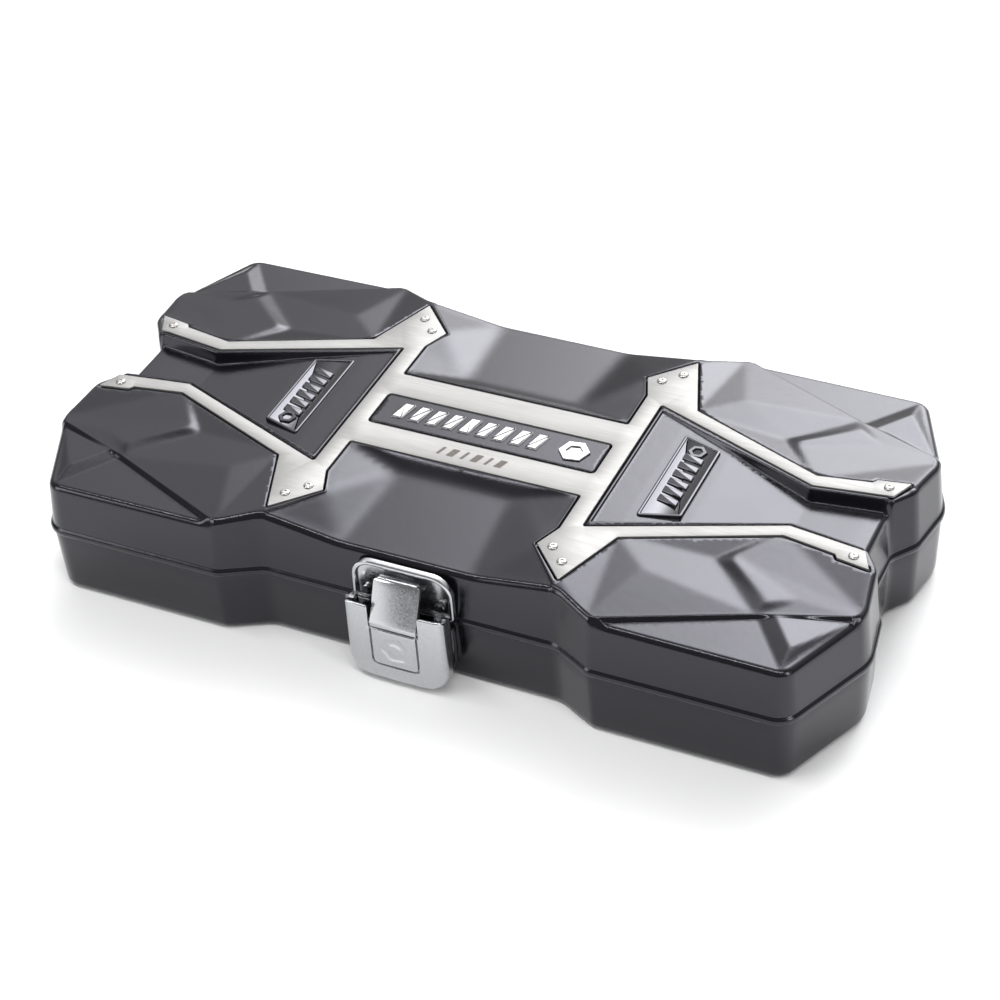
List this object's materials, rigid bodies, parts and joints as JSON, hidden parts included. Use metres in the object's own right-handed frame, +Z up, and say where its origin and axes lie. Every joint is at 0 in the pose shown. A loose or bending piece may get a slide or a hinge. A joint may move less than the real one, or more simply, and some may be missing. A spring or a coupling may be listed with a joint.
{
  "type": "socket wrench set in case",
  "caption": "Pressed-steel case with a rear hinge and a draw latch, holding half-inch drive sockets, an extension bar and a ratchet handle in a moulded tray.",
  "frame": {"origin": "on the surface the case stands on, under the centre of its bounding box", "axes": "+X to the right along the long side, +Y to the hinge at the back (the latch faces -Y), +Z up"},
  "size_m": [0.2974, 0.157, 0.0503],
  "materials": {
    "case_paint": "gloss",
    "trim_steel": "brushed",
    "bright_plating": "polished",
    "dark_phosphate": "satin",
    "tray_plastic": "matte",
    "grip_rubber": "matte"
  },
  "bodies": {
    "base": {"base_shell": "case_paint", "tray": "tray_plastic", "hinge_leaf_base": "bright_plating", "hinge_pin": "bright_plating", "hinge_rivet_base_left": "bright_plating", "hinge_rivet_base_right": "bright_plating", "latch_catch_plate": "bright_plating", "latch_pivot_pin_left": "bright_plating", "latch_pivot_pin_right": "bright_plating", "catch_rivet_left": "bright_plating", "catch_rivet_right": "bright_plating", "socket_10": "dark_phosphate", "socket_11": "dark_phosphate", "socket_12": "dark_phosphate", "socket_13": "dark_phosphate", "socket_14": "dark_phosphate", "socket_15": "dark_phosphate", "socket_17": "dark_phosphate", "socket_18": "dark_phosphate", "socket_19": "dark_phosphate", "socket_21": "dark_phosphate", "socket_22": "dark_phosphate", "socket_24": "dark_phosphate", "extension_bar": "dark_phosphate", "ratchet_body": "bright_plating", "ratchet_grip": "grip_rubber"},
    "lid": {"lid_shell": "case_paint", "trim_plate": "trim_steel", "trim_rivet_1": "trim_steel", "trim_rivet_2": "trim_steel", "trim_rivet_3": "trim_steel", "trim_rivet_4": "trim_steel", "trim_rivet_5": "trim_steel", "trim_rivet_6": "trim_steel", "trim_rivet_7": "trim_steel", "trim_rivet_8": "trim_steel", "trim_rivet_9": "trim_steel", "trim_rivet_10": "trim_steel", "trim_rivet_11": "trim_steel", "trim_rivet_12": "trim_steel", "hinge_leaf_lid": "bright_plating", "hinge_rivet_lid_left": "bright_plating", "hinge_rivet_lid_right": "bright_plating", "latch_keeper_plate": "bright_plating", "keeper_rivet_left": "bright_plating", "keeper_rivet_right": "bright_plating"},
    "latch_lever": {"latch_lever": "bright_plating", "latch_link_pin": "bright_plating"},
    "latch_tongue": {"latch_tongue": "bright_plating"},
    "ratchet_drive": {"ratchet_drive": "bright_plating"},
    "ratchet_pawl": {"ratchet_pawl": "bright_plating"},
    "ratchet_selector": {"ratchet_selector": "bright_plating"}
  },
  "joints": [
    {"name": "lid_hinge", "type": "hinge", "parent": "base", "child": "lid", "pos_m": [0, 0.0765, 0.0248], "axis": [-1, 0, 0], "range_deg": [0, 105]},
    {"name": "latch_lever_hinge", "type": "hinge", "parent": "base", "child": "latch_lever", "pos_m": [0, -0.0746, 0.0314], "axis": [-1, 0, 0], "range_deg": [0, 115]},
    {"name": "latch_tongue_hinge", "type": "hinge", "parent": "latch_lever", "child": "latch_tongue", "pos_m": [0, -0.077, 0.0256], "axis": [-1, 0, 0], "range_deg": [-115, 0]},
    {"name": "ratchet_drive_spin", "type": "hinge", "parent": "base", "child": "ratchet_drive", "pos_m": [-0.103, 0, 0.0193], "axis": [0, 0, 1], "continuous": true},
    {"name": "ratchet_selector_turn", "type": "hinge", "parent": "base", "child": "ratchet_selector", "pos_m": [-0.103, 0, 0.0333], "axis": [0, 0, 1], "range_deg": [-20, 20]},
    {"name": "ratchet_pawl_rock", "type": "hinge", "parent": "base", "child": "ratchet_pawl", "pos_m": [-0.0897, 0, 0.0263], "axis": [0, 0, 1], "range_deg": [-8, 8]}
  ],
  "couplings": [
    {"joint": "latch_tongue_hinge", "follows": "latch_lever_hinge", "ratio": -1}
  ]
}
